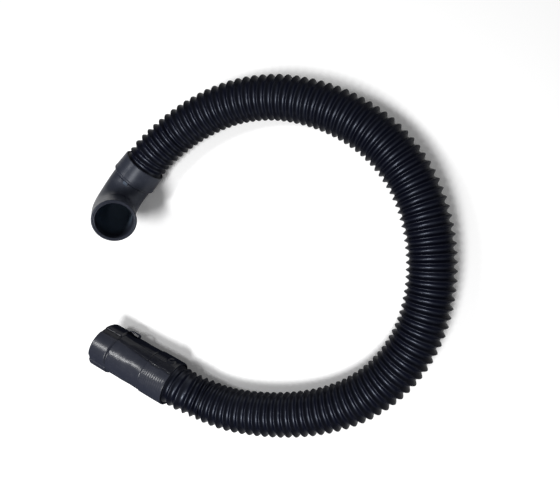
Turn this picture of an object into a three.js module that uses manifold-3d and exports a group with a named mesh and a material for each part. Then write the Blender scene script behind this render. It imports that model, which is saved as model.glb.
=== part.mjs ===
// Drain hose lying on its side: a corrugated plastic hose in a three-quarter loop,
// a bent rubber elbow on one end and a straight push-on cuff on the other.
// Millimetres, +Z up, standing on z = 0, with the origin under the middle of the outline.

import * as THREE from 'three';
import { mergeVertices } from 'three/addons/utils/BufferGeometryUtils.js';
import Module from 'manifold-3d';

const wasm = await Module();
wasm.setup();

// Gap between pieces that are pushed or clamped together
const FIT_GAP = 0.3;

// Corrugated hose
const HOSE_CREST_R = 19;
const HOSE_RIB_DEPTH = 2.8;
const HOSE_WALL = 1.2;
const HOSE_RIB_PITCH = 6.8;
const HOSE_RIB_BUNCHING = 0.045;
const HOSE_SIDES = 12;

// How far each end of the hose goes into its socket
const SLEEVE_SOCKET_DEPTH = 14;
const COLLAR_SOCKET_DEPTH = 12;

// Elbow, and the collar that holds it to the hose
const COLLAR_LENGTH = 18.6;
const COLLAR_WALL = 1.5;
const COLLAR_TAPER = 0.7;
const ELBOW_WALL = 3.1;
const ELBOW_LEAD = 2;
const ELBOW_BEND_R = 27;
const ELBOW_BEND_DEG = 105;
const ELBOW_ROLL_DEG = 43;
const ELBOW_OUTLET = 24;
const ELBOW_RIM_ROUND = 1;
const ELBOW_NIB_LENGTH = 4;
const ELBOW_NIB_WIDTH = 4.5;
const ELBOW_NIB_HEIGHT = 1.3;
const ELBOW_NIB_TURN_DEG = 23;

// Straight cuff: barrel, the sleeve that joins it to the hose, and the ring on its mouth
const CUFF_BORE_R = 17.3;
const BARREL_LENGTH = 62;
const BARREL_WALL = 1.4;
const BARREL_FRONT_STEP = 1.1;
const SLEEVE_LENGTH = 30;
const SLEEVE_WALL = 2;
const SLEEVE_NOSE_WALL = 1.7;
const SLEEVE_NOSE_LENGTH = 8;
const END_RING_LENGTH = 21;
const END_RING_WALL = 1.6;
const END_RING_PAD_HEIGHT = 0.9;
const END_RING_PADS = 4;
const END_RING_PAD_TURN_DEG = 20;
const END_RING_GROOVE_DEG = 12;
const EDGE_ROUND = 0.6;

// Flat-topped panel along the cuff, on the side that faces into the loop, and the boss at its end
const PANEL_FROM_DEG = 58;
const PANEL_TO_DEG = 122;
const PANEL_HEIGHT = 0.7;
const BOSS_ANGLE_DEG = 84;
const BOSS_FROM_HOSE = 12;
const BOSS_R = 5;
const BOSS_HEIGHT = 1.4;

// Loop that stands over the barrel behind the end ring
const LATCH_ANGLE_DEG = 108;
const LATCH_LENGTH = 12;
const LATCH_RISE = 2.2;
const LATCH_STRAND = 1.1;
const LATCH_WIDTH = 5;
const LATCH_ROOT = 4;

const ROUND_SIDES = 32;

// Radii that follow from the ones above
const COLLAR_BORE_R = HOSE_CREST_R + FIT_GAP;
const COLLAR_OUTER_R = COLLAR_BORE_R + COLLAR_WALL;
const ELBOW_OUTER_R = HOSE_CREST_R;
const SLEEVE_SOCKET_R = HOSE_CREST_R + FIT_GAP;
const SLEEVE_OUTER_R = SLEEVE_SOCKET_R + SLEEVE_WALL;
const SLEEVE_NOSE_R = CUFF_BORE_R + SLEEVE_NOSE_WALL;
const BARREL_SOCKET_R = SLEEVE_NOSE_R + FIT_GAP;
const BARREL_OUTER_R = BARREL_SOCKET_R + BARREL_WALL;
const BARREL_FRONT_R = BARREL_OUTER_R - BARREL_FRONT_STEP;
const END_RING_BORE_R = BARREL_FRONT_R + FIT_GAP;
const END_RING_OUTER_R = END_RING_BORE_R + END_RING_WALL;
const END_RING_PAD_R = END_RING_OUTER_R + END_RING_PAD_HEIGHT;

// Heights of the axes above the floor: each end piece rests on its own largest radius
const CUFF_AXIS_Z = END_RING_PAD_R;
const ELBOW_AXIS_Z = COLLAR_OUTER_R;
const HOSE_AXIS_Z = HOSE_CREST_R;

// Route of the hose on the floor, x and y, from the cuff's socket to the elbow's collar
const ROUTE_FROM_CUFF = [[-91.2, -119], [-83.7, -121.9], [-76.3, -124.8], [-67, -128.4]];
const ROUTE_LOOP = [
  [-47, -136], [-23.5, -140.6], [4.5, -140.8], [30.5, -138], [55.5, -132.4], [79.5, -123.4],
  [101, -110.6], [118.8, -94.4], [132.8, -75.4], [142.5, -55], [148.2, -34], [150.8, -13],
  [150.6, 7.3], [147.9, 27.4], [142.7, 46.9], [134.6, 65.9], [123.4, 83.6], [109.2, 99.7],
  [91.9, 113.7], [72.1, 125.4], [50, 134.3], [25.6, 140.4], [-0.5, 142], [-27.1, 138.6],
  [-53.3, 130.1], [-78, 117.8],
];
const ROUTE_TO_ELBOW = [[-101.7, 100.3], [-108.9, 93.3], [-114.6, 87.7], [-120.3, 82.1]];

// The hose lies on the floor, and lifts only to meet the axes of its end pieces
class HoseRoute extends THREE.CatmullRomCurve3 {
  getPoint(t, target = new THREE.Vector3()) {
    super.getPoint(t, target);
    return target.setZ(Math.max(target.z, HOSE_AXIS_Z));
  }
}

function routeCurve() {
  const at = (z) => ([x, y]) => new THREE.Vector3(x, y, z);
  return new HoseRoute([
    ...ROUTE_FROM_CUFF.map(at(CUFF_AXIS_Z)),
    ...ROUTE_LOOP.map(at(HOSE_AXIS_Z)),
    ...ROUTE_TO_ELBOW.map(at(ELBOW_AXIS_Z)),
  ]);
}

// The elbow's centre line: a short straight, the bend, and the straight outlet
class ElbowCurve extends THREE.Curve {
  constructor(start, heading, side) {
    super();
    this.start = start;
    this.heading = heading;
    this.side = side;
    this.lead = COLLAR_LENGTH - COLLAR_SOCKET_DEPTH - FIT_GAP + ELBOW_LEAD;
    this.arc = THREE.MathUtils.degToRad(ELBOW_BEND_DEG) * ELBOW_BEND_R;
    this.total = this.lead + this.arc + ELBOW_OUTLET;
  }

  getPoint(t, target = new THREE.Vector3()) {
    const run = t * this.total;
    const angle = THREE.MathUtils.clamp(run - this.lead, 0, this.arc) / ELBOW_BEND_R;
    const after = Math.max(run - this.lead - this.arc, 0);
    const forward = Math.min(run, this.lead)
      + ELBOW_BEND_R * Math.sin(angle) + after * Math.cos(angle);
    const sideways = ELBOW_BEND_R * (1 - Math.cos(angle)) + after * Math.sin(angle);
    return target.copy(this.start)
      .addScaledVector(this.heading, forward)
      .addScaledVector(this.side, sideways);
  }
}

// Keeps only positions, with shared vertices merged
function closed(geometry) {
  const bare = geometry.clone();
  bare.deleteAttribute('normal');
  bare.deleteAttribute('uv');
  return mergeVertices(bare, 1e-4);
}

function toSolid(geometry) {
  const mesh = closed(geometry);
  return new wasm.Manifold(new wasm.Mesh({
    numProp: 3,
    vertProperties: new Float32Array(mesh.attributes.position.array),
    triVerts: new Uint32Array(mesh.index.array),
  }));
}

function toGeometry(solid) {
  const mesh = solid.getMesh();
  const geometry = new THREE.BufferGeometry();
  geometry.setAttribute('position', new THREE.BufferAttribute(mesh.vertProperties, 3));
  geometry.setIndex(new THREE.BufferAttribute(mesh.triVerts, 1));
  return geometry;
}

// A ring turned about +Z from a closed outline of [radius, z] points
function turned(outline, sides = ROUND_SIDES) {
  const points = [...outline, outline[0]].map(([r, z]) => new THREE.Vector2(r, z));
  return new THREE.LatheGeometry(points, sides).rotateX(Math.PI / 2);
}

// Lays a piece that was made along +Z along a curve instead.
// across stays the direction of the piece's x axis as nearly as the curve allows.
function laidAlong(geometry, curve, across) {
  const mesh = closed(geometry);
  const place = mesh.attributes.position;
  const length = curve.getLength();
  const point = new THREE.Vector3();
  const ahead = new THREE.Vector3();
  const xAxis = new THREE.Vector3();
  const yAxis = new THREE.Vector3();
  for (let i = 0; i < place.count; i += 1) {
    const u = THREE.MathUtils.clamp(place.getZ(i) / length, 0, 1);
    curve.getPointAt(u, point);
    curve.getTangentAt(u, ahead);
    xAxis.copy(across).addScaledVector(ahead, -across.dot(ahead)).normalize();
    yAxis.crossVectors(ahead, xAxis);
    point.addScaledVector(xAxis, place.getX(i)).addScaledVector(yAxis, place.getY(i));
    place.setXYZ(i, point.x, point.y, point.z);
  }
  return mesh;
}

// Angles round the cuff are measured from straight up towards the inside of the loop
function roundTheCuff(radius, degrees) {
  const angle = THREE.MathUtils.degToRad(degrees);
  return new THREE.Vector2(-radius * Math.sin(angle), radius * Math.cos(angle));
}

// A round outline with raised parts, each [from, to, radius] in degrees, and a round hole
function raisedOutline(radius, raised, boreR) {
  const step = 360 / ROUND_SIDES;
  const corners = [];
  const addArc = (from, to, r) => {
    const count = Math.max(Math.round((to - from) / step), 1);
    for (let i = 0; i <= count; i += 1) {
      corners.push(roundTheCuff(r, from + ((to - from) * i) / count));
    }
  };
  raised.forEach(([from, to, r], i) => {
    addArc(from, to, r);
    const next = i + 1 < raised.length ? raised[i + 1][0] : raised[0][0] + 360;
    addArc(to, next, radius);
  });
  const shape = new THREE.Shape(corners);
  const hole = new THREE.Path();
  hole.absarc(0, 0, boreR, 0, 2 * Math.PI, true);
  shape.holes.push(hole);
  return shape;
}

// The outline is drawn in by the bevel, so its largest radius stays as stated
function extruded(shape, from, to) {
  return new THREE.ExtrudeGeometry(shape, {
    depth: to - from - 2 * EDGE_ROUND,
    bevelThickness: EDGE_ROUND,
    bevelSize: EDGE_ROUND,
    bevelOffset: -EDGE_ROUND,
    bevelSegments: 1,
    curveSegments: ROUND_SIDES,
  }).translate(0, 0, from + EDGE_ROUND);
}

function hoseGeometry(curve) {
  const length = curve.getLength();
  const halfRibs = 2 * Math.round(length / HOSE_RIB_PITCH);
  const outside = [];
  const inside = [];
  for (let i = 0; i <= halfRibs; i += 1) {
    const share = i / halfRibs;
    const bunching = (HOSE_RIB_BUNCHING * Math.sin(2 * Math.PI * share)) / (2 * Math.PI);
    const z = length * (share + bunching);
    const r = i % 2 === 0 ? HOSE_CREST_R - HOSE_RIB_DEPTH : HOSE_CREST_R;
    outside.push([r, z]);
    inside.unshift([r - HOSE_WALL, z]);
  }
  const straight = turned([...outside, ...inside], HOSE_SIDES);
  return laidAlong(straight, curve, new THREE.Vector3(0, 0, 1));
}

function elbowGeometry(curve, across) {
  const bore = ELBOW_OUTER_R - ELBOW_WALL;
  const bends = 14;
  const outside = [[ELBOW_OUTER_R, 0], [ELBOW_OUTER_R, curve.lead]];
  const inside = [[bore, 0], [bore, curve.lead]];
  for (let i = 1; i <= bends; i += 1) {
    const z = curve.lead + (curve.arc * i) / bends;
    outside.push([ELBOW_OUTER_R, z]);
    inside.push([bore, z]);
  }
  outside.push([ELBOW_OUTER_R, curve.total - ELBOW_RIM_ROUND]);
  outside.push([ELBOW_OUTER_R - ELBOW_RIM_ROUND, curve.total]);
  inside.push([bore, curve.total]);
  const tube = laidAlong(turned([...outside, ...inside.reverse()]), curve, across);

  // Moulded nib against the collar's edge, turned from straight up towards the inside of the loop
  const nibBase = ELBOW_OUTER_R - ELBOW_WALL / 2;
  const nib = new THREE.Shape([
    new THREE.Vector2(0, nibBase),
    new THREE.Vector2(0, ELBOW_OUTER_R + ELBOW_NIB_HEIGHT),
    new THREE.Vector2(ELBOW_NIB_LENGTH, ELBOW_OUTER_R),
    new THREE.Vector2(ELBOW_NIB_LENGTH, nibBase),
  ]);
  const nibOut = new THREE.Vector3(0, 0, 1)
    .applyAxisAngle(curve.heading, -THREE.MathUtils.degToRad(ELBOW_NIB_TURN_DEG));
  const wedge = new THREE.ExtrudeGeometry(nib, { depth: ELBOW_NIB_WIDTH, bevelEnabled: false })
    .translate(0, 0, -ELBOW_NIB_WIDTH / 2)
    .applyMatrix4(new THREE.Matrix4().makeBasis(
      curve.heading,
      nibOut,
      new THREE.Vector3().crossVectors(curve.heading, nibOut),
    ));
  const collarEnd = COLLAR_LENGTH - COLLAR_SOCKET_DEPTH;
  const nibPlace = curve.start.clone().addScaledVector(curve.heading, collarEnd);
  wedge.translate(nibPlace.x, nibPlace.y, nibPlace.z);
  return toGeometry(toSolid(tube).add(toSolid(wedge)));
}

// Made along +Z from the hose side to the elbow side, a little wider at the elbow
function collarGeometry() {
  return turned([
    [COLLAR_BORE_R, 0],
    [COLLAR_OUTER_R - COLLAR_TAPER, 0],
    [COLLAR_OUTER_R, COLLAR_LENGTH - EDGE_ROUND],
    [COLLAR_OUTER_R - EDGE_ROUND, COLLAR_LENGTH],
    [COLLAR_BORE_R, COLLAR_LENGTH],
  ]);
}

// The cuff's pieces are made along +Z, from the hose's end at zero to the open mouth
const SLEEVE_HOSE_FACE = -SLEEVE_SOCKET_DEPTH;
const SLEEVE_FRONT = SLEEVE_HOSE_FACE + SLEEVE_LENGTH;
const BARREL_BACK = SLEEVE_FRONT + FIT_GAP;
const BARREL_FRONT = BARREL_BACK + BARREL_LENGTH;
const END_RING_BACK = BARREL_FRONT - END_RING_LENGTH;

function sleeveGeometry() {
  const panelR = SLEEVE_OUTER_R + PANEL_HEIGHT;
  const body = raisedOutline(
    SLEEVE_OUTER_R, [[PANEL_FROM_DEG, PANEL_TO_DEG, panelR]], CUFF_BORE_R);
  const nose = turned([
    [CUFF_BORE_R, SLEEVE_FRONT - SLEEVE_WALL],
    [SLEEVE_NOSE_R, SLEEVE_FRONT - SLEEVE_WALL],
    [SLEEVE_NOSE_R, SLEEVE_FRONT + SLEEVE_NOSE_LENGTH],
    [CUFF_BORE_R, SLEEVE_FRONT + SLEEVE_NOSE_LENGTH],
  ]);
  const socket = turned([
    [0, SLEEVE_HOSE_FACE - 1],
    [SLEEVE_SOCKET_R, SLEEVE_HOSE_FACE - 1],
    [SLEEVE_SOCKET_R, FIT_GAP],
    [0, FIT_GAP],
  ]);
  const bossAt = roundTheCuff(1, BOSS_ANGLE_DEG);
  const boss = new THREE.CylinderGeometry(
    BOSS_R - BOSS_HEIGHT / 2, BOSS_R, panelR + BOSS_HEIGHT - SLEEVE_SOCKET_R - FIT_GAP, 20)
    .rotateZ(Math.atan2(-bossAt.x, bossAt.y));
  const bossMiddle = (panelR + BOSS_HEIGHT + SLEEVE_SOCKET_R + FIT_GAP) / 2;
  boss.translate(
    bossMiddle * bossAt.x, bossMiddle * bossAt.y, SLEEVE_HOSE_FACE + BOSS_FROM_HOSE);
  return toGeometry(
    toSolid(extruded(body, SLEEVE_HOSE_FACE, SLEEVE_FRONT))
      .add(toSolid(nose))
      .add(toSolid(boss))
      .subtract(toSolid(socket)));
}

function barrelGeometry() {
  const body = raisedOutline(
    BARREL_OUTER_R, [[PANEL_FROM_DEG, PANEL_TO_DEG, BARREL_OUTER_R + PANEL_HEIGHT]], CUFF_BORE_R);
  const noseSocket = turned([
    [0, BARREL_BACK - 1],
    [BARREL_SOCKET_R, BARREL_BACK - 1],
    [BARREL_SOCKET_R, BARREL_BACK + SLEEVE_NOSE_LENGTH],
    [0, BARREL_BACK + SLEEVE_NOSE_LENGTH],
  ]);
  const front = turned([
    [CUFF_BORE_R, END_RING_BACK - EDGE_ROUND - FIT_GAP - 1],
    [BARREL_FRONT_R, END_RING_BACK - EDGE_ROUND - FIT_GAP - 1],
    [BARREL_FRONT_R, BARREL_FRONT],
    [CUFF_BORE_R, BARREL_FRONT],
  ]);
  return toGeometry(
    toSolid(extruded(body, BARREL_BACK, END_RING_BACK - FIT_GAP))
      .add(toSolid(front))
      .subtract(toSolid(noseSocket)));
}

function endRingGeometry() {
  const pitch = 360 / END_RING_PADS;
  const pads = Array.from({ length: END_RING_PADS }, (_, i) => {
    const middle = END_RING_PAD_TURN_DEG + i * pitch;
    const half = (pitch - END_RING_GROOVE_DEG) / 2;
    return [middle - half, middle + half, END_RING_PAD_R];
  });
  const ring = extruded(
    raisedOutline(END_RING_OUTER_R, pads, END_RING_BORE_R), END_RING_BACK, BARREL_FRONT);

  // The loop is drawn with x along the cuff, away from its mouth, and y outwards
  const foot = END_RING_OUTER_R;
  const top = END_RING_PAD_R + LATCH_RISE;
  const outline = new THREE.Shape([
    new THREE.Vector2(-LATCH_ROOT, foot),
    new THREE.Vector2(LATCH_LENGTH, foot),
    new THREE.Vector2(LATCH_LENGTH, top - LATCH_STRAND),
    new THREE.Vector2(LATCH_LENGTH - LATCH_STRAND, top),
    new THREE.Vector2(LATCH_STRAND, top),
    new THREE.Vector2(-LATCH_ROOT, END_RING_PAD_R),
  ]);
  outline.holes.push(new THREE.Path([
    new THREE.Vector2(LATCH_STRAND, foot + LATCH_STRAND),
    new THREE.Vector2(LATCH_STRAND * 2, top - LATCH_STRAND),
    new THREE.Vector2(LATCH_LENGTH - 2 * LATCH_STRAND, top - LATCH_STRAND),
    new THREE.Vector2(LATCH_LENGTH - LATCH_STRAND, foot + LATCH_STRAND),
  ]));
  const outwards = roundTheCuff(1, LATCH_ANGLE_DEG);
  const latch = new THREE.ExtrudeGeometry(outline, { depth: LATCH_WIDTH, bevelEnabled: false })
    .translate(0, 0, -LATCH_WIDTH / 2)
    .applyMatrix4(new THREE.Matrix4().makeBasis(
      new THREE.Vector3(0, 0, -1),
      new THREE.Vector3(outwards.x, outwards.y, 0),
      new THREE.Vector3(outwards.y, -outwards.x, 0),
    ))
    .translate(0, 0, END_RING_BACK);
  return toGeometry(toSolid(ring).add(toSolid(latch)));
}

const FINISHES = {
  hose: { color: 0x14151b, roughness: 0.32, metalness: 0 },
  rubber: { color: 0x1b1d23, roughness: 0.55, metalness: 0 },
  cuff: { color: 0x191b22, roughness: 0.45, metalness: 0 },
};

function piece(name, geometry, finish) {
  geometry.computeVertexNormals();
  const mesh = new THREE.Mesh(geometry, new THREE.MeshStandardMaterial(FINISHES[finish]));
  mesh.name = name;
  return mesh;
}

// A group whose +Z points along heading and whose +Y is straight up
function endGroup(place, heading) {
  const up = new THREE.Vector3(0, 0, 1);
  const group = new THREE.Group();
  group.position.copy(place);
  group.quaternion.setFromRotationMatrix(new THREE.Matrix4().makeBasis(
    new THREE.Vector3().crossVectors(up, heading), up, heading));
  return group;
}

function level(vector) {
  return vector.setZ(0).normalize();
}

const route = routeCurve();
route.arcLengthDivisions = 2000;

const hoseStart = route.getPointAt(0);
const hoseEnd = route.getPointAt(1);
const towardsMouth = level(route.getTangentAt(0).negate());
const towardsElbow = level(route.getTangentAt(1));

const cuff = endGroup(hoseStart, towardsMouth);
cuff.add(
  piece('cuff_sleeve', sleeveGeometry(), 'cuff'),
  piece('straight_cuff', barrelGeometry(), 'cuff'),
  piece('end_ring', endRingGeometry(), 'cuff'),
);

const collar = endGroup(
  hoseEnd.clone().addScaledVector(towardsElbow, -COLLAR_SOCKET_DEPTH), towardsElbow);
collar.add(piece('elbow_collar', collarGeometry(), 'rubber'));

const roll = THREE.MathUtils.degToRad(ELBOW_ROLL_DEG);
const bendSide = new THREE.Vector3(-towardsElbow.y, towardsElbow.x, 0)
  .multiplyScalar(Math.sin(roll))
  .addScaledVector(new THREE.Vector3(0, 0, 1), Math.cos(roll));
const bendAxis = new THREE.Vector3().crossVectors(towardsElbow, bendSide);
const elbowCurve = new ElbowCurve(
  hoseEnd.clone().addScaledVector(towardsElbow, FIT_GAP), towardsElbow, bendSide);

const hose = new THREE.Group();
hose.add(
  piece('corrugated_hose', hoseGeometry(route), 'hose'),
  collar,
  piece('elbow', elbowGeometry(elbowCurve, bendAxis), 'rubber'),
  cuff,
);

export default hose;
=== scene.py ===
import math

import bmesh
import bpy
import numpy as np
from mathutils import Matrix, Vector


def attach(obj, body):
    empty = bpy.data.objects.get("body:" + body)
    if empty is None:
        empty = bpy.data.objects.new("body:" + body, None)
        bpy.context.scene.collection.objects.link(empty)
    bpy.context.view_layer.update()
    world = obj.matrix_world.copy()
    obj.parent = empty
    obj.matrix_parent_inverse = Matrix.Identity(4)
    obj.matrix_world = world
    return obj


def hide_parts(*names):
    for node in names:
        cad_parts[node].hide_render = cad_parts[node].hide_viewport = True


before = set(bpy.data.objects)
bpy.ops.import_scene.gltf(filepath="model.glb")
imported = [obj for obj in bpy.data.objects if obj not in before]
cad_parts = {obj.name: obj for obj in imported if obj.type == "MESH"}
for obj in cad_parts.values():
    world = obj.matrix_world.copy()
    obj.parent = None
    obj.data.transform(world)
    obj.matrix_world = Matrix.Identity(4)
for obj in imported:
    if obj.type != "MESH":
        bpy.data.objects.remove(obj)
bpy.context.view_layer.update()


# Where the photograph was taken from: close above the right-hand side of the loop,
# looking down and a little to the left, with a wide lens.
camera_place = (0.1365, 0.022, 0.3434)
camera_right = Vector((0.94687, 0.0, -0.32161))
camera_up = Vector((-0.01446, 0.99899, -0.04257))
camera_back = camera_right.cross(camera_up)
half_a_pixel = 0.0009

camera_data = bpy.data.cameras.new("camera")
camera_data.sensor_width = 36.0
camera_data.lens = 25.07
camera_data.clip_start = 0.01
camera_data.shift_x = half_a_pixel
camera_data.shift_y = half_a_pixel
camera = bpy.data.objects.new("camera", camera_data)
camera_turn = Matrix((camera_right, camera_up, camera_back)).transposed()
camera.matrix_world = Matrix.Translation(camera_place) @ camera_turn.to_4x4()
bpy.context.scene.collection.objects.link(camera)
bpy.context.scene.camera = camera
bpy.context.scene.view_settings.view_transform = "Standard"


# The corrugated hose is blow-moulded from thin black polypropylene. It lies on the floor in an
# open loop, and its ends lift a little to meet the sleeve of the cuff and the elbow's collar.
# Its ribs are narrow rounded fins with wider valleys between them.
hose_wall = 0.0012
hose_sides = 52
rib_pitch = 0.0068
rib_bunching = 0.045
hose_axis_z = 0.019
cuff_axis_z = 0.0224
elbow_axis_z = 0.0208
upwards = np.array([0.0, 0.0, 1.0])

# The hose's middle line as seen from above, in millimetres
route_from_cuff = [(-91.2, -119), (-83.7, -121.9), (-76.3, -124.8), (-67, -128.4)]
route_loop = [
    (-47, -136), (-23.5, -140.6), (4.5, -140.8), (30.5, -138), (55.5, -132.4), (79.5, -123.4),
    (101, -110.6), (118.8, -94.4), (132.8, -75.4), (142.5, -55), (148.2, -34), (150.8, -13),
    (150.6, 7.3), (147.9, 27.4), (142.7, 46.9), (134.6, 65.9), (123.4, 83.6), (109.2, 99.7),
    (91.9, 113.7), (72.1, 125.4), (50, 134.3), (25.6, 140.4), (-0.5, 142), (-27.1, 138.6),
    (-53.3, 130.1), (-78, 117.8)]
route_to_elbow = [(-101.7, 100.3), (-108.9, 93.3), (-114.6, 87.7), (-120.3, 82.1)]
route_stretches = ((route_from_cuff, cuff_axis_z), (route_loop, hose_axis_z),
                   (route_to_elbow, elbow_axis_z))
route_points = np.array([(x / 1000, y / 1000, height)
                         for stretch, height in route_stretches for x, y in stretch])

# Half a rib, from the middle of the valley to the top of the crest: (share of pitch, radius)
half_rib = [
    (0.0, 0.01620), (0.08, 0.01628), (0.15, 0.01652), (0.22, 0.01696), (0.30, 0.01766),
    (0.37, 0.01826), (0.42, 0.01866), (0.46, 0.01887), (0.5, 0.0190)]
hose_valley_r = half_rib[0][1]
hose_crest_r = half_rib[-1][1]


def smooth_route(points, steps=60):
    """Points close together on a smooth curve through the given ones, which doesn't overshoot."""
    p = np.vstack([2 * points[0] - points[1], points, 2 * points[-1] - points[-2]])
    t = np.linspace(0, 1, steps, endpoint=False)[:, None]
    out = []
    for a, b, c, d in zip(p[:-3], p[1:-2], p[2:-1], p[3:]):
        ab, bc, cd = (math.sqrt(np.linalg.norm(v)) for v in (b - a, c - b, d - c))
        slope_b = ((b - a) / ab - (c - a) / (ab + bc) + (c - b) / bc) * bc
        slope_c = ((c - b) / bc - (d - b) / (bc + cd) + (d - c) / cd) * bc
        square = 3 * (c - b) - 2 * slope_b - slope_c
        cube = 2 * (b - c) + slope_b + slope_c
        out.append(b + slope_b * t + square * t ** 2 + cube * t ** 3)
    return np.vstack(out + [points[-1:]])


class Path:
    """A centre line that a round piece is laid along, measured from its start in metres.
    across is a direction that the first of its cross directions follows."""

    look_ahead = 0.0004

    def __init__(self, points, across):
        self.points = points
        steps = np.linalg.norm(np.diff(points, axis=0), axis=1)
        self.run = np.concatenate([[0], np.cumsum(steps)])
        self.length = self.run[-1]
        self.across = across

    def at(self, s):
        """The points at the distances s."""
        s = np.clip(s, 0, self.length)
        return np.stack([np.interp(s, self.run, self.points[:, k]) for k in range(3)], axis=-1)

    def directions(self, s):
        """Two directions across the path and the one along it, at the distances s."""
        ahead = self.at(s + self.look_ahead) - self.at(s - self.look_ahead)
        ahead /= np.linalg.norm(ahead, axis=-1, keepdims=True)
        first = self.across - (ahead @ self.across)[..., None] * ahead
        first /= np.linalg.norm(first, axis=-1, keepdims=True)
        return first, np.cross(ahead, first), ahead


def skin(name, points, faces):
    """A smooth mesh object with its faces turned outwards."""
    mesh = bpy.data.meshes.new(name)
    mesh.from_pydata(points.tolist(), [], faces.tolist())
    work = bmesh.new()
    work.from_mesh(mesh)
    bmesh.ops.recalc_face_normals(work, faces=work.faces)
    work.to_mesh(mesh)
    work.free()
    mesh.polygons.foreach_set("use_smooth", [True] * len(mesh.polygons))
    piece = bpy.data.objects.new(name, mesh)
    bpy.context.scene.collection.objects.link(piece)
    return piece


def round_piece(name, path, profile, sides, relief=None, mark=None):
    """A closed skin round a path. profile is a closed list of (distance, radius, is outside).
    relief(distance, angle) is how far the outside stands proud, in metres. mark(distance,
    angle, is outside) is kept as the point attribute "mark", for the material."""
    s, r, outside = (np.array(v, float) for v in zip(*profile))
    angle = np.linspace(0, 2 * math.pi, sides, endpoint=False)
    radius = np.repeat(r[:, None], sides, axis=1)
    if relief is not None:
        radius += outside[:, None] * relief(s[:, None], angle[None, :])
    first, second, _ = path.directions(s)
    spokes = (np.cos(angle)[None, :, None] * first[:, None, :]
              + np.sin(angle)[None, :, None] * second[:, None, :])
    points = path.at(s)[:, None, :] + radius[..., None] * spokes

    rings = len(s)
    ring, side = np.arange(rings)[:, None], np.arange(sides)[None, :]
    next_ring, next_side = (ring + 1) % rings, (side + 1) % sides
    quads = np.stack([ring * sides + side, next_ring * sides + side,
                      next_ring * sides + next_side, ring * sides + next_side], axis=-1)
    piece = skin(name, points.reshape(-1, 3), quads.reshape(-1, 4))
    if mark is not None:
        values = mark(s[:, None], angle[None, :], outside[:, None]) * np.ones((rings, sides))
        marks = piece.data.attributes.new("mark", "FLOAT", "POINT")
        marks.data.foreach_set("value", values.reshape(-1))
    return piece


route = Path(smooth_route(route_points), upwards)
route.points[:, 2] = np.maximum(route.points[:, 2], hose_axis_z)
rib_count = round(route.length / rib_pitch)


def rib_place(count):
    """Where along the hose a rib lies. The ribs stand closer at the middle of the loop."""
    share = np.asarray(count, float) / rib_count
    drift = rib_bunching * np.sin(2 * math.pi * share) / (2 * math.pi)
    return route.length * (share + drift)


hose_outside = []
for rib in range(rib_count):
    for share, r in half_rib:
        hose_outside.append((rib_place(rib + share), r, 1))
    for share, r in reversed(half_rib[1:-1]):
        hose_outside.append((rib_place(rib + 1 - share), r, 1))
hose_outside.append((route.length, hose_valley_r, 1))
hose_inside = []
for half in range(2 * rib_count, -1, -1):
    r = hose_crest_r if half % 2 else hose_valley_r
    hose_inside.append((rib_place(half / 2), r - hose_wall, 0))
hose_profile = hose_outside + hose_inside


def hose_mark(s, angle, outside):
    """How high each point of the outside stands, from 0 in the valley to 1 on the crest."""
    r = np.array([r for _, r, _ in hose_profile])[:, None]
    return outside * (r - hose_valley_r) / (hose_crest_r - hose_valley_r)


hose = round_piece("hose", route, hose_profile, hose_sides, mark=hose_mark)


def moulded_surface():
    """Shared effect of a handled moulded part: cloudy tone, fine grain and faint scuffs."""
    group = bpy.data.node_groups.new("moulded surface", "ShaderNodeTree")
    for label, kind in (("Tone", "Color"), ("Scuffed tone", "Color"), ("Scuffs", "Float"),
                        ("Sheen low", "Float"), ("Sheen high", "Float"),
                        ("Grain size", "Float"), ("Cloud size", "Float")):
        group.interface.new_socket(label, in_out="INPUT", socket_type="NodeSocket" + kind)
    for label, kind in (("Color", "Color"), ("Roughness", "Float"), ("Height", "Float")):
        group.interface.new_socket(label, in_out="OUTPUT", socket_type="NodeSocket" + kind)
    nodes, links = group.nodes, group.links
    given = nodes.new("NodeGroupInput")
    result = nodes.new("NodeGroupOutput")
    where = nodes.new("ShaderNodeTexCoord")

    cloud = nodes.new("ShaderNodeTexNoise")
    cloud.inputs["Detail"].default_value = 4
    links.new(where.outputs["Object"], cloud.inputs["Vector"])
    links.new(given.outputs["Cloud size"], cloud.inputs["Scale"])

    grain = nodes.new("ShaderNodeTexNoise")
    grain.inputs["Detail"].default_value = 3
    grain.inputs["Roughness"].default_value = 0.7
    links.new(where.outputs["Object"], grain.inputs["Vector"])
    links.new(given.outputs["Grain size"], grain.inputs["Scale"])
    links.new(grain.outputs["Fac"], result.inputs["Height"])

    # Scuffs show where the two noises are both high
    both = nodes.new("ShaderNodeMath")
    both.operation = "MULTIPLY"
    links.new(cloud.outputs["Fac"], both.inputs[0])
    links.new(grain.outputs["Fac"], both.inputs[1])
    scuff_mask = nodes.new("ShaderNodeMapRange")
    scuff_mask.inputs["From Min"].default_value = 0.27
    scuff_mask.inputs["From Max"].default_value = 0.42
    links.new(both.outputs[0], scuff_mask.inputs["Value"])
    scuff = nodes.new("ShaderNodeMath")
    scuff.operation = "MULTIPLY"
    links.new(scuff_mask.outputs["Result"], scuff.inputs[0])
    links.new(given.outputs["Scuffs"], scuff.inputs[1])

    tone = nodes.new("ShaderNodeMix")
    tone.data_type = "RGBA"
    links.new(scuff.outputs[0], tone.inputs["Factor"])
    links.new(given.outputs["Tone"], tone.inputs["A"])
    links.new(given.outputs["Scuffed tone"], tone.inputs["B"])
    links.new(tone.outputs["Result"], result.inputs["Color"])

    sheen = nodes.new("ShaderNodeMapRange")
    sheen.inputs["From Min"].default_value = 0.3
    sheen.inputs["From Max"].default_value = 0.7
    links.new(cloud.outputs["Fac"], sheen.inputs["Value"])
    links.new(given.outputs["Sheen low"], sheen.inputs["To Min"])
    links.new(given.outputs["Sheen high"], sheen.inputs["To Max"])
    links.new(sheen.outputs["Result"], result.inputs["Roughness"])
    return group


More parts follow.
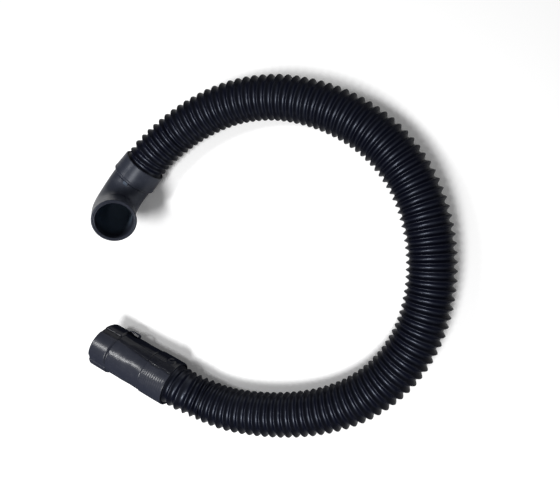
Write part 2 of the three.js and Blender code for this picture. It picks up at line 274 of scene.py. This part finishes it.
surface = moulded_surface()
grain_depth = 0.00001


def moulded_material(name, tone, scuffed_tone, scuffs, sheen, grain_size, cloud_size, bump,
                     gloss, coat, coat_roughness, dull_from, dull_at, edge_share):
    """A black moulded plastic or rubber with the shared surface. Its gloss and coat are full
    where it faces the eye, start to fade at dull_from and are down to edge_share of that at
    dull_at, where 1 is edge-on. Returns the material, its surface's node and its shader."""
    material = bpy.data.materials.new(name)
    material.use_nodes = True
    nodes, links = material.node_tree.nodes, material.node_tree.links
    shader = nodes["Principled BSDF"]
    effect = nodes.new("ShaderNodeGroup")
    effect.node_tree = surface
    for label, value in (("Tone", (*tone, 1)), ("Scuffed tone", (*scuffed_tone, 1)),
                         ("Scuffs", scuffs), ("Sheen low", sheen[0]), ("Sheen high", sheen[1]),
                         ("Grain size", grain_size), ("Cloud size", cloud_size)):
        effect.inputs[label].default_value = value
    rise = nodes.new("ShaderNodeBump")
    rise.inputs["Strength"].default_value = bump
    rise.inputs["Distance"].default_value = grain_depth
    links.new(effect.outputs["Height"], rise.inputs["Height"])
    links.new(rise.outputs["Normal"], shader.inputs["Normal"])
    links.new(effect.outputs["Color"], shader.inputs["Base Color"])
    links.new(effect.outputs["Roughness"], shader.inputs["Roughness"])

    # Seen edge-on, a fine bloom on the plastic keeps it from mirroring the floor
    slant = nodes.new("ShaderNodeLayerWeight")
    slant.inputs["Blend"].default_value = 0.5
    for socket, most in (("Specular IOR Level", gloss), ("Coat Weight", coat)):
        fade = nodes.new("ShaderNodeMapRange")
        fade.interpolation_type = "SMOOTHSTEP"
        fade.inputs["From Min"].default_value = dull_from
        fade.inputs["From Max"].default_value = dull_at
        fade.inputs["To Min"].default_value = most
        fade.inputs["To Max"].default_value = most * edge_share
        links.new(slant.outputs["Facing"], fade.inputs["Value"])
        links.new(fade.outputs["Result"], shader.inputs[socket])
    shader.inputs["Coat Roughness"].default_value = coat_roughness
    return material, effect, shader


def tint_by_mark(material, effect, shader, none_at, full_at, tone, most):
    """Mixes another tone in as the mark runs from none_at to full_at, up to the share most."""
    nodes, links = material.node_tree.nodes, material.node_tree.links
    mark = nodes.new("ShaderNodeAttribute")
    mark.attribute_name = "mark"
    share = nodes.new("ShaderNodeMapRange")
    share.inputs["From Min"].default_value = none_at
    share.inputs["From Max"].default_value = full_at
    share.inputs["To Max"].default_value = most
    links.new(mark.outputs["Fac"], share.inputs["Value"])
    mixed = nodes.new("ShaderNodeMix")
    mixed.data_type = "RGBA"
    mixed.inputs["B"].default_value = (*tone, 1)
    links.new(share.outputs["Result"], mixed.inputs["Factor"])
    links.new(effect.outputs["Color"], mixed.inputs["A"])
    links.new(mixed.outputs["Result"], shader.inputs["Base Color"])


hose_plastic, hose_effect, hose_shader = moulded_material(
    "hose plastic", tone=(0.0032, 0.0038, 0.0085), scuffed_tone=(0.018, 0.020, 0.027),
    scuffs=0.25, sheen=(0.36, 0.46), grain_size=1800, cloud_size=90, bump=0.25, gloss=0.52,
    coat=0.10, coat_roughness=0.24, dull_from=0.05, dull_at=0.36, edge_share=0.05)
hose_shader.inputs["Specular Tint"].default_value = (0.72, 0.80, 1.0, 1)
# A little dust, and a painted sheen that stands in for the light stripe along each valley floor,
# lighten the valleys
tint_by_mark(hose_plastic, hose_effect, hose_shader, none_at=0.35, full_at=0.0,
             tone=(0.0065, 0.008, 0.015), most=0.35)
hose.data.materials.append(hose_plastic)
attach(hose, "root")
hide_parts("corrugated_hose")


# The straight cuff starts with a sleeve, moulded in a semi-gloss black plastic. The hose is
# glued into its socket, and its nose goes into the barrel. A raised panel with a round boss
# stands on the side that faces into the loop.
cuff_bore_r = 0.0173
cuff_sides = 160
sleeve_back = -0.011
sleeve_front = 0.016
sleeve_outer_r = 0.0213
sleeve_edge = 0.0005
sleeve_nose_r = 0.0190
sleeve_nose_end = 0.0238
hose_socket_r = 0.0193
hose_socket_floor = 0.0003

# On the cuff, lengths run from the hose's end towards the mouth, and angles from straight up
# towards the inside of the loop. Its path and the collar's start this far before the hose's end.
path_lead = 0.03
cuff_path_reach = 0.09

# The panel's lower edge, as (distance, degrees), and its other measures
panel_lower_edge = [(-0.010, 49.0), (-0.002, 52.0), (0.006, 49.0), (0.016, 52.0), (0.057, 63.0)]
panel_edge_half_deg = 1.8
panel_top_deg = 122.0
panel_top_slope_deg = 3.0
panel_height = 0.0004
panel_groove_below_deg = 2.4
panel_groove_width_deg = 1.2
panel_groove_depth = 0.0004
panel_ridge_above_deg = 20.0
panel_ridge_width_deg = 1.6
panel_ridge_height = 0.0003
panel_shade_below_deg = (4.5, 2.5)
panel_shade_end_deg = (150.0, 170.0)

boss_deg = 84.0
boss_z = -0.002
boss_r = 0.0048
boss_height = 0.0013
boss_edge = 0.0008
dimple_depth = 0.0005
dimple_r = (0.0014, 0.0026)

ring_spacing = 0.00032
relief_fade = 0.001
rib_print_height = 0.000028
rib_print_pitch = 0.0023
rib_print_end = (0.011, 0.015)
shrink_fold_count = 6


def outward(path, place):
    """The level direction in which a path points at a place."""
    ahead = path.directions(np.array([place]))[2][0]
    ahead[2] = 0
    return ahead / np.linalg.norm(ahead)


cuff_start = route.at(np.array([0.0]))[0]
cuff_heading = -outward(route, 0.0)
cuff_path = Path(np.array([cuff_start - path_lead * cuff_heading,
                           cuff_start + cuff_path_reach * cuff_heading]), upwards)


def soft_step(x, low, high):
    """Rises smoothly from 0 to 1 between low and high."""
    t = np.clip((x - low) / (high - low), 0, 1)
    return t * t * (3 - 2 * t)


def between(x, low, high, fade):
    """1 from low to high and nought elsewhere, with either end faded over a width of fade."""
    half = fade / 2
    return soft_step(x, low - half, low + half) * (1 - soft_step(x, high - half, high + half))


def outside_run(back, front, r, edge, front_r=None):
    """The outside of a straight tube, as (distance, radius, is outside), with its corners
    rounded off in two facets. It widens evenly to front_r, if that is given."""
    front_r = r if front_r is None else front_r
    facet = 0.3 * edge
    run = [(back, r - edge, 0), (back + facet, r - facet, 1)]
    for z in np.linspace(back + edge, front - edge, int((front - back) / ring_spacing)):
        run.append((z, r + (front_r - r) * (z - back) / (front - back), 1))
    return run + [(front - facet, front_r - facet, 1), (front, front_r - edge, 0)]


def from_hose_end(run):
    """A run that is measured from the hose's end, moved to its place on the piece's path."""
    return [(path_lead + z, r, outside) for z, r, outside in run]


def panel_edge(z):
    """The angle of the panel's lower edge, in degrees."""
    return np.interp(z, *zip(*panel_lower_edge))


def panel_relief(z, turn):
    """The raised panel, with a fine groove along its lower edge and a ridge higher up."""
    edge = panel_edge(z)
    raised = (soft_step(turn, edge - panel_edge_half_deg, edge + panel_edge_half_deg)
              * (1 - soft_step(turn, panel_top_deg - panel_top_slope_deg, panel_top_deg)))
    groove = np.exp(-((turn - edge + panel_groove_below_deg) / panel_groove_width_deg) ** 2)
    ridge = np.exp(-((turn - edge - panel_ridge_above_deg) / panel_ridge_width_deg) ** 2)
    return panel_height * raised - panel_groove_depth * groove + panel_ridge_height * ridge


def shrink_folds(z, angle, height, sway, rate, phase):
    """Shallow folds along a moulding that has shrunk, which sway from side to side. The rate
    of a wave is in radians per metre here and below."""
    return height * np.sin(shrink_fold_count * angle + sway * np.sin(z * rate + phase))


def sleeve_relief(s, angle):
    """The panel, the boss with its dimple, the print of the hose's ribs, and shrink folds."""
    z = s - path_lead
    turn = np.degrees(angle)
    away = np.hypot(sleeve_outer_r * np.radians(turn - boss_deg), z - boss_z)
    boss = (boss_height * (1 - soft_step(away, boss_r - boss_edge, boss_r))
            - dimple_depth * (1 - soft_step(away, *dimple_r)))
    rib_print = (rib_print_height * np.sin(2 * math.pi * z / rib_print_pitch)
                 * (1 - soft_step(z, *rib_print_end)))
    folds = shrink_folds(z, angle, height=0.00010, sway=1.2, rate=170, phase=0.3)
    return (between(z, sleeve_back + sleeve_edge, sleeve_front - sleeve_edge, relief_fade)
            * (panel_relief(z, turn) + boss + rib_print + folds))


def cuff_painted_shade(s, angle, outside):
    """1 on the outside's panel side, which is painted darker for the shade that lies there, and
    nought elsewhere.
    """
    turn = np.degrees(angle)
    edge = panel_edge(s - path_lead)
    first, full = panel_shade_below_deg
    return (outside * soft_step(turn, edge - first, edge - full)
            * (1 - soft_step(turn, *panel_shade_end_deg)))


sleeve_profile = from_hose_end(
    outside_run(sleeve_back, sleeve_front, sleeve_outer_r, sleeve_edge)
    + [(sleeve_front, sleeve_nose_r, 0), (sleeve_nose_end, sleeve_nose_r, 0),
       (sleeve_nose_end, cuff_bore_r, 0), (hose_socket_floor, cuff_bore_r, 0),
       (hose_socket_floor, hose_socket_r, 0), (sleeve_back, hose_socket_r, 0)])
sleeve = round_piece("sleeve", cuff_path, sleeve_profile, cuff_sides, sleeve_relief, cuff_painted_shade)

cuff_plastic, cuff_effect, cuff_shader = moulded_material(
    "cuff plastic", tone=(0.022, 0.0245, 0.036), scuffed_tone=(0.06, 0.063, 0.075),
    scuffs=0.3, sheen=(0.32, 0.42), grain_size=1500, cloud_size=140, bump=0.5, gloss=0.12,
    coat=0.5, coat_roughness=0.24, dull_from=0.14, dull_at=0.50, edge_share=0.0)
# Painted shade: the panel's side is painted darker than the rest, for the shade that lies on that
# side
tint_by_mark(cuff_plastic, cuff_effect, cuff_shader, none_at=0.0, full_at=1.0,
             tone=(0.007, 0.008, 0.013), most=1.0)
sleeve.data.materials.append(cuff_plastic)
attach(sleeve, "root")
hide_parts("cuff_sleeve")


# The barrel of the cuff is a plain moulded tube that carries on the sleeve's panel. It has drawn
# in a little while it cooled, which makes the light along it wander. Its front goes into the
# end ring, and the sleeve's nose into its back.
barrel_back = 0.0161
barrel_shoulder = 0.0571
barrel_front = 0.0783
barrel_outer_r = 0.0207
barrel_edge = 0.0004
barrel_front_r = 0.0196
barrel_socket_r = 0.0193
barrel_socket_end = 0.0243
barrel_plain_end = 0.0006
waist_depth = 0.00005
waist_rate = 330
waist_phase = 1.2
twist_depth = 0.00002
twist_rate = 700
twist_starts = 9
ripple_depth = 0.000006
ripple_rate = 4500
ripple_sway = 2
ripple_sway_rate = 900


def barrel_relief(s, angle):
    """The panel, and the shrink folds with waists, a twist and a fine ripple over them."""
    z = s - path_lead
    sink = (shrink_folds(z, angle, height=0.00013, sway=1.4, rate=150, phase=0.8)
            + waist_depth * np.sin(z * waist_rate + waist_phase)
            + twist_depth * np.sin(z * twist_rate + twist_starts * angle)
            + ripple_depth * np.sin(z * ripple_rate
                                    + ripple_sway * np.sin(z * ripple_sway_rate)))
    return (between(z, barrel_back + barrel_plain_end, barrel_shoulder - barrel_plain_end,
                    relief_fade)
            * (panel_relief(z, np.degrees(angle)) + sink))


barrel_profile = from_hose_end(
    outside_run(barrel_back, barrel_shoulder, barrel_outer_r, barrel_edge)
    + [(barrel_shoulder, barrel_front_r, 0), (barrel_front, barrel_front_r, 0),
       (barrel_front, cuff_bore_r, 0), (barrel_socket_end, cuff_bore_r, 0),
       (barrel_socket_end, barrel_socket_r, 0), (barrel_back, barrel_socket_r, 0)])
barrel = round_piece("barrel", cuff_path, barrel_profile, cuff_sides, barrel_relief, cuff_painted_shade)
barrel.data.materials.append(cuff_plastic)
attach(barrel, "root")
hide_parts("straight_cuff")


# The end ring is a stiff moulded ring over the barrel's front. Four pads stand out round it with
# grooves between them, and a small latch loop springs from its back on the panel's side.
ring_back = 0.0573
ring_bore_r = 0.0199
ring_outer_r = 0.0203
ring_edge = 0.0006
ring_sides = 240
pad_r = 0.0224
pad_turn_deg = 20.0
pad_spacing_deg = 90.0
pad_half_deg = 37.0
pad_side_deg = 1.6
pad_crown = 0.35
pad_back_margin = 0.0008
pad_front_margin = 0.0010
pad_fade = 0.0012
pad_end_share = 0.6


def ring_relief(s, angle):
    """The pads, a little crowned, so that their corners are soft."""
    z = s - path_lead
    turn = ((np.degrees(angle) - pad_turn_deg + pad_spacing_deg / 2) % pad_spacing_deg
            - pad_spacing_deg / 2)
    pad = 1 - soft_step(np.abs(turn), pad_half_deg - pad_side_deg, pad_half_deg + pad_side_deg)
    along = between(z, ring_back + pad_back_margin, barrel_front - pad_front_margin, pad_fade)
    crown = 1 - pad_crown * (np.abs(turn) / pad_half_deg) ** 4
    height = pad_end_share + (1 - pad_end_share) * along
    return (pad_r - ring_outer_r) * pad * crown * height


ring_profile = from_hose_end(
    outside_run(ring_back, barrel_front, ring_outer_r, ring_edge)
    + [(barrel_front, ring_bore_r, 0), (ring_back, ring_bore_r, 0)])
ring = round_piece("end_ring_pads", cuff_path, ring_profile, ring_sides, ring_relief, cuff_painted_shade)

strap_sides = 16
strap_side_power = 0.4
strap_face_power = 0.6


def add_strap(piece, centre, sideways, width, thickness):
    """Joins a flat strap with rounded edges to a piece. centre is its centre line, and sideways
    the direction of its width."""
    line = np.array(centre)
    ahead = np.gradient(line, axis=0)
    ahead /= np.linalg.norm(ahead, axis=1, keepdims=True)
    rise = np.cross(ahead, sideways)
    turns = np.linspace(0, 2 * math.pi, strap_sides, endpoint=False)
    x = width / 2 * np.sign(np.cos(turns)) * np.abs(np.cos(turns)) ** strap_side_power
    y = thickness / 2 * np.sign(np.sin(turns)) * np.abs(np.sin(turns)) ** strap_face_power
    work = bmesh.new()
    work.from_mesh(piece.data)
    rings = [[work.verts.new(point + sideways * across + up * high) for across, high in zip(x, y)]
             for point, up in zip(line, rise)]
    for one, two in zip(rings[:-1], rings[1:]):
        for k in range(strap_sides):
            work.faces.new((one[k - 1], one[k], two[k], two[k - 1]))
    work.faces.new(rings[0])
    work.faces.new(rings[-1])
    for face in work.faces:
        face.smooth = True
    bmesh.ops.recalc_face_normals(work, faces=work.faces)
    work.to_mesh(piece.data)
    work.free()


latch_turn = math.radians(108.0)
latch_rise = 0.0022
latch_width = 0.005
latch_strand = 0.0012
latch_top = pad_r + latch_rise - latch_strand / 2
# The latch loop's middle line: (distance back from the ring, distance from the cuff's axis)
latch_shape = [
    (-0.0035, 0.0218), (-0.002, 0.0224), (-0.0004, 0.0233), (0.0008, latch_top - 0.0002),
    (0.0022, latch_top), (0.006, latch_top), (0.0095, latch_top), (0.0108, latch_top - 0.0003),
    (0.0114, 0.0232), (0.0116, 0.0222), (0.0116, 0.0212)]
latch_out = (math.cos(latch_turn) * upwards
             + math.sin(latch_turn) * np.cross(cuff_heading, upwards))
latch_line = [cuff_start + cuff_heading * (ring_back - back) + latch_out * height
              for back, height in latch_shape]
add_strap(ring, latch_line, np.cross(cuff_heading, latch_out), latch_width, latch_strand)
ring.data.materials.append(cuff_plastic)
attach(ring, "root")
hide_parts("end_ring")


# The collar is a short moulded rubber band, pushed and glued over the end of the hose and the
# neck of the elbow. It widens a little towards the elbow and ends there in a soft bead.
collar_back = -0.012
collar_front = 0.0066
collar_bore_r = 0.0193
collar_back_r = 0.0201
collar_front_r = 0.0208
collar_edge = 0.0006
collar_sides = 120
bead_height = 0.00022
bead_start = 0.0022
bead_end = 0.0004
bead_fade = 0.0008
dent_depth = 0.00018
dent_z = 0.001
dent_width = 0.004

elbow_start = route.at(np.array([route.length]))[0]
elbow_heading = outward(route, route.length)
collar_path = Path(np.array([elbow_start - path_lead * elbow_heading,
                             elbow_start + path_lead * elbow_heading]), upwards)


def collar_relief(s, angle):
    """The bead, and a shallow dent that makes the collar a little out of round."""
    z = s - path_lead
    bead = bead_height * between(z, collar_front - bead_start, collar_front - bead_end, bead_fade)
    dent = -dent_depth * np.exp(-(((z - dent_z) / dent_width) ** 2)) * np.cos(2 * angle)
    return bead + dent


collar_profile = from_hose_end(
    outside_run(collar_back, collar_front, collar_back_r, collar_edge, collar_front_r)
    + [(collar_front, collar_bore_r, 0), (collar_back, collar_bore_r, 0)])
collar = round_piece("collar", collar_path, collar_profile, collar_sides, collar_relief)

rubber, rubber_effect, rubber_shader = moulded_material(
    "elbow rubber", tone=(0.022, 0.025, 0.036), scuffed_tone=(0.07, 0.074, 0.088),
    scuffs=0.35, sheen=(0.36, 0.46), grain_size=1700, cloud_size=110, bump=0.5, gloss=0.13,
    coat=0.10, coat_roughness=0.3, dull_from=0.14, dull_at=0.50, edge_share=0.7)
# Painted light: a pale bluish tone is painted deep in the elbow's bore, lightening the shade
# there, and a painted glint on the elbow's nib
tint_by_mark(rubber, rubber_effect, rubber_shader, none_at=0.0, full_at=1.0,
             tone=(0.125, 0.165, 0.225), most=1.0)
rubber_shader.inputs["Specular Tint"].default_value = (0.80, 0.87, 1.0, 1)
collar.data.materials.append(rubber)
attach(collar, "root")
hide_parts("elbow_collar")


# The elbow is one bent tube of moulded rubber. It leaves the collar level, turns up and to the
# side, and ends in a mouth with a rounded lip that faces up. A small nib stands on it where the
# collar's edge lies.
elbow_outer_r = 0.0190
elbow_bore_r = 0.0159
elbow_sides = 112
elbow_rings = 210
bore_rings = 60
bend_steps = 60
elbow_gap = 0.0003
elbow_lead = 0.0083
elbow_bend_r = 0.027
elbow_bend_deg = 105
elbow_roll = math.radians(43)
elbow_outlet = 0.024
lip_length = 0.0016
lip_depth = 0.0014
seam_depth = 0.0007
seam_gap = 0.0002
seam_width = 0.0006
squash_depth = 0.00012
squash_rate = 150
squash_phase = 0.5
squash_start = (0.008, 0.012)
# Where the painted light deep in the bore starts and where it is full, measured from the mouth
bore_painted_light_start = (0.010, 0.032)

elbow_left = np.cross(upwards, elbow_heading)
bend_side = math.sin(elbow_roll) * elbow_left + math.cos(elbow_roll) * upwards
bend_from = elbow_start + (elbow_gap + elbow_lead) * elbow_heading
elbow_points = [elbow_start + elbow_gap * elbow_heading]
for turn in np.radians(np.linspace(0, elbow_bend_deg, bend_steps)):
    bent = math.sin(turn) * elbow_heading + (1 - math.cos(turn)) * bend_side
    elbow_points.append(bend_from + elbow_bend_r * bent)
mouth_heading = (math.cos(math.radians(elbow_bend_deg)) * elbow_heading
                 + math.sin(math.radians(elbow_bend_deg)) * bend_side)
elbow_points.append(elbow_points[-1] + elbow_outlet * mouth_heading)
elbow_path = Path(np.array(elbow_points), np.cross(elbow_heading, bend_side))
mouth = elbow_path.length

elbow_outside = [(z, elbow_outer_r, 1)
                 for z in np.linspace(0, mouth - lip_length, elbow_rings)]
# The lip from the outside in, with a fine step before the bore
elbow_lip = [
    (mouth - 0.0009, elbow_outer_r - 0.0001, 1), (mouth - 0.0004, elbow_outer_r - 0.0005, 1),
    (mouth, elbow_outer_r - 0.0011, 0), (mouth, 0.0173, 0), (mouth - 0.0004, 0.0171, 0),
    (mouth - 0.0004, 0.0167, 0), (mouth - 0.0001, 0.0164, 0),
    (mouth - 0.0004, elbow_bore_r + 0.0001, 0)]
elbow_inside = [(z, elbow_bore_r, 0) for z in np.linspace(mouth - lip_depth, 0, bore_rings)]
elbow_profile = elbow_outside + elbow_lip + elbow_inside


def elbow_relief(s, angle):
    """A groove at the collar's edge, and a wall that is squashed a little beyond it."""
    seam = -seam_depth * np.exp(-((s - collar_front - seam_gap) / seam_width) ** 2)
    squash = squash_depth * np.sin(s * squash_rate + squash_phase) * np.cos(2 * angle)
    return seam + squash * soft_step(s, *squash_start)


def elbow_mark(s, angle, outside):
    """1 deep in the bore, where a pale bluish tone is painted in as light, and nought elsewhere.
    """
    bore = np.array([r == elbow_bore_r for _, r, _ in elbow_profile])[:, None]
    return bore * soft_step(mouth - s, *bore_painted_light_start)


elbow = round_piece("elbow_tube", elbow_path, elbow_profile, elbow_sides,
                    elbow_relief, elbow_mark)

nib_length = 0.004
nib_width = 0.0045
nib_strand = 0.0007
nib_height = 0.0013
nib_turn = math.radians(23)
nib_painted_glint = 0.35
# The nib's middle line: (distance from the collar's edge, height above the elbow)
nib_shape = [
    (0.0001, -0.0004), (0.0001, nib_height - 0.0007), (0.0004, nib_height - 0.0003),
    (0.0014, nib_height - 0.0006), (nib_length, -0.0005)]
nib_out = math.cos(nib_turn) * upwards + math.sin(nib_turn) * elbow_left
nib_line = [elbow_start + (collar_front + elbow_gap + z) * elbow_heading
            + nib_out * (elbow_outer_r + height) for z, height in nib_shape]
first_nib_point = len(elbow.data.vertices)
add_strap(elbow, nib_line, np.cross(elbow_heading, nib_out), nib_width, nib_strand)
# The nib's points take part of the bore's pale tone, as a painted glint
for point in elbow.data.attributes["mark"].data[first_nib_point:]:
    point.value = nib_painted_glint
elbow.data.materials.append(rubber)
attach(elbow, "root")
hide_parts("elbow")


# The hose lies on plain white paper, which the camera sees as white up to its edges. A soft lamp
# below the loop makes the shadows, a small window at the upper left the light along the cuff,
# and a small lamp at the right the bright line along the right-hand bend.
floor_half = 3
paper_tone = (0.95, 0.95, 0.95, 1)
paper_glow = 0.10
room_light = 0.17
white = (1, 1, 1, 1)

floor_mesh = bpy.data.meshes.new("floor")
floor_mesh.from_pydata([(-floor_half, -floor_half, 0), (floor_half, -floor_half, 0),
                        (floor_half, floor_half, 0), (-floor_half, floor_half, 0)],
                       [], [(0, 1, 2, 3)])
floor = bpy.data.objects.new("floor", floor_mesh)
bpy.context.scene.collection.objects.link(floor)
paper = bpy.data.materials.new("white paper")
paper.use_nodes = True
nodes, links = paper.node_tree.nodes, paper.node_tree.links
paper_shader = nodes["Principled BSDF"]
paper_shader.inputs["Base Color"].default_value = paper_tone
paper_shader.inputs["Roughness"].default_value = 0.9
paper_shader.inputs["Specular IOR Level"].default_value = 0.0
paper_shader.inputs["Emission Color"].default_value = white
# Only what the camera sees, straight or in a reflection, gets the paper's glow
light_path = nodes.new("ShaderNodeLightPath")
seen = light_path.outputs["Is Camera Ray"]
for other in ("Is Glossy Ray", "Is Transmission Ray"):
    either = nodes.new("ShaderNodeMath")
    either.operation = "MAXIMUM"
    links.new(seen, either.inputs[0])
    links.new(light_path.outputs[other], either.inputs[1])
    seen = either.outputs[0]
glow = nodes.new("ShaderNodeMath")
glow.operation = "MULTIPLY"
glow.inputs[1].default_value = paper_glow
links.new(seen, glow.inputs[0])
links.new(glow.outputs[0], paper_shader.inputs["Emission Strength"])
floor_mesh.materials.append(paper)

room = bpy.data.worlds.new("room")
bpy.context.scene.world = room
room.use_nodes = True
room.node_tree.nodes["Background"].inputs["Color"].default_value = white
room.node_tree.nodes["Background"].inputs["Strength"].default_value = room_light


def lamp(name, place, aim, size, power):
    """A round lamp, size metres across, that shines from its place towards aim."""
    light = bpy.data.lights.new(name, "AREA")
    light.shape = "DISK"
    light.size = size
    light.energy = power
    stand = bpy.data.objects.new(name, light)
    stand.location = place
    stand.rotation_euler = (Vector(aim) - Vector(place)).to_track_quat("-Z", "Y").to_euler()
    bpy.context.scene.collection.objects.link(stand)


lamp("soft lamp below the loop", place=(-0.10, -0.35, 0.90), aim=(0.05, 0.02, 0.0),
     size=0.33, power=8.5)
lamp("right ceiling lamp", place=(0.23, -0.11, 0.69), aim=(0.03, 0.0, 0.0),
     size=0.055, power=0.2)
lamp("small window at the upper left", place=(-0.42, 0.17, 0.665), aim=(-0.10, -0.06, 0.03),
     size=0.16, power=1.8)
